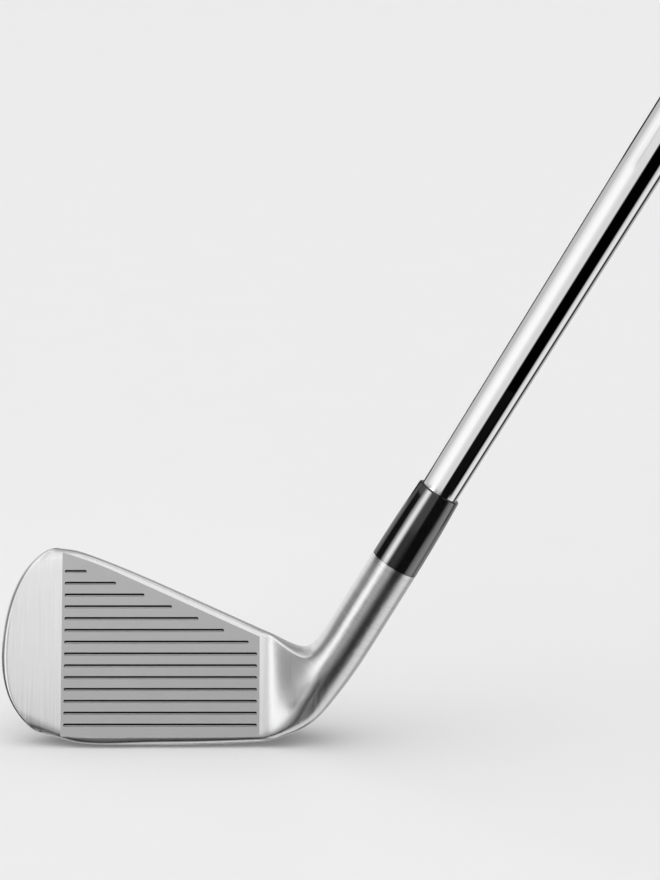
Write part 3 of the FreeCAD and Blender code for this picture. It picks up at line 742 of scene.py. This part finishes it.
def panel_glow(name, around, along, added):
    """A light whose brightness depends on the place round the shaft and along it.

    Where it is added, what is behind the panel shows through it.
    """
    paint = Paint(name)
    tree = paint.tree
    from_foot = paint.vector("SUBTRACT", paint.place, tuple(SHAFT_FOOT / MM))
    colour, peak = shading(tree, turn_round_shaft(tree, from_foot), around)
    share, most = shading(tree, paint.along(SHAFT_DIRECTION, SHAFT_FOOT),
                          [(place / MM, level) for place, level in along])
    glow = tree.nodes.new("ShaderNodeEmission")
    tree.links.new(colour, glow.inputs["Color"])
    tree.links.new(paint.times(share, peak * most), glow.inputs["Strength"])
    shader = glow.outputs["Emission"]
    if added:
        add = tree.nodes.new("ShaderNodeAddShader")
        tree.links.new(shader, add.inputs[0])
        tree.links.new(tree.nodes.new("ShaderNodeBsdfTransparent").outputs["BSDF"], add.inputs[1])
        shader = add.outputs["Shader"]
    output = tree.nodes.new("ShaderNodeOutputMaterial")
    tree.links.new(shader, output.inputs["Surface"])
    return paint.material


def panel(name, around, radius, along, only_on=None):
    """A curved panel round the shaft's line, which only glossy surfaces mirror.

    It has a brightness for each angle round the shaft, times a share for each place along the shaft's line.
    Where it is for one node only, it adds its light to what that node mirrors, and the others see through it.
    """
    mesh = panel_mesh(name, around, radius, along[0][0], along[-1][0])
    mesh.materials.append(panel_glow(name, around, along, added=only_on is not None))
    card = bpy.data.objects.new(name, mesh)
    card.visible_camera = False
    card.visible_diffuse = False
    card.visible_shadow = False
    card.visible_transmission = False
    if only_on:
        lit = bpy.data.collections.new(name + "_lights")
        lit.objects.link(frame["nodes"][only_on])
        card.light_linking.receiver_collection = lit
    bpy.context.scene.collection.objects.link(card)


def evenly(start, end):
    """A share of 1 all the way from start to end."""
    return (start, 1), (end, 1)


def panels():
    """Panels closer to the club than the tent, which shape the light on one part of it."""
    panel("hosel_panel", HOSEL_TENT, NEAR, evenly(HEEL_START, mirrored_at(FERRULE_TOP, NEAR)))
    panel("heel_panel", HEEL_CARD, BEFORE_NEAR, evenly(HEEL_START, HEEL_END))
    panel("edge_card", EDGE_CARD, BEFORE_NEAR, evenly(HEEL_START, EDGE_END))
    panel("sole_panel", SOLE_TENT, NEAR, evenly(SOLE_START, HEEL_START))
    panel("top_line_panel", TOP_LINE_LAMP, FAR, TOP_LINE_REACH, only_on="head_body")
    beside_ferrule = evenly(mirrored_at(HOSEL_TOP, CLOSE), FERRULE_LAMP_END)
    panel("ferrule_lamp", FERRULE_LAMP, CLOSE, beside_ferrule, only_on="ferrule")
    panel("ferrule_side_lamp", FERRULE_SIDE_LAMP, CLOSE, beside_ferrule, only_on="ferrule")
    over_ferrule = evenly(mirrored_at(HOSEL_TOP, CARD), mirrored_at(FERRULE_TOP, CARD))
    panel("ferrule_card", FERRULE_CARD, CARD, over_ferrule)
    panel("ferrule_side_card", FERRULE_SIDE_CARD, CLOSE, beside_ferrule)
    panel("face_panel", FACE_TENT, FAR, FACE_REACH)


TOP_LIGHT_STRENGTH = 1.45
TOP_LIGHT_ANGLE = math.radians(120)


def top_light():
    """A wide soft light from above, for the floor.  The metal doesn't mirror it."""
    data = bpy.data.lights.new("top_light", "SUN")
    data.energy = TOP_LIGHT_STRENGTH
    data.angle = TOP_LIGHT_ANGLE
    light = bpy.data.objects.new("top_light", data)
    light.visible_glossy = False
    bpy.context.scene.collection.objects.link(light)


FLOOR_REACH = 9.0
FLOOR_GAP = 0.05 * MM         # between the sole and the floor


def floor():
    """A plain pale floor.  The metal doesn't mirror it, but the light tent behind it."""
    mesh = bpy.data.meshes.new("floor")
    corners = [(FLOOR_REACH * x, FLOOR_REACH * y, 0) for x, y in ((-1, -1), (1, -1), (1, 1), (-1, 1))]
    mesh.from_pydata(corners, [], [(0, 1, 2, 3)])
    ground = bpy.data.objects.new("floor", mesh)
    ground.location.z = cad_box[0][2] - FLOOR_GAP
    bpy.context.scene.collection.objects.link(ground)
    paint = Paint("floor_paint")
    grain = paint.noise(paint.place, size=40, detail=3)
    colour = paint.grey(paint.spread(grain, 0.795, 0.805))
    mesh.materials.append(paint.finish(colour, paint.spread(grain, 0.85, 0.9), Specular_IOR_Level=0.1))
    ground.visible_glossy = False


bpy.context.scene.view_settings.view_transform = "Standard"
camera()
light_tent()
panels()
top_light()
floor()
dress_all()
grip()
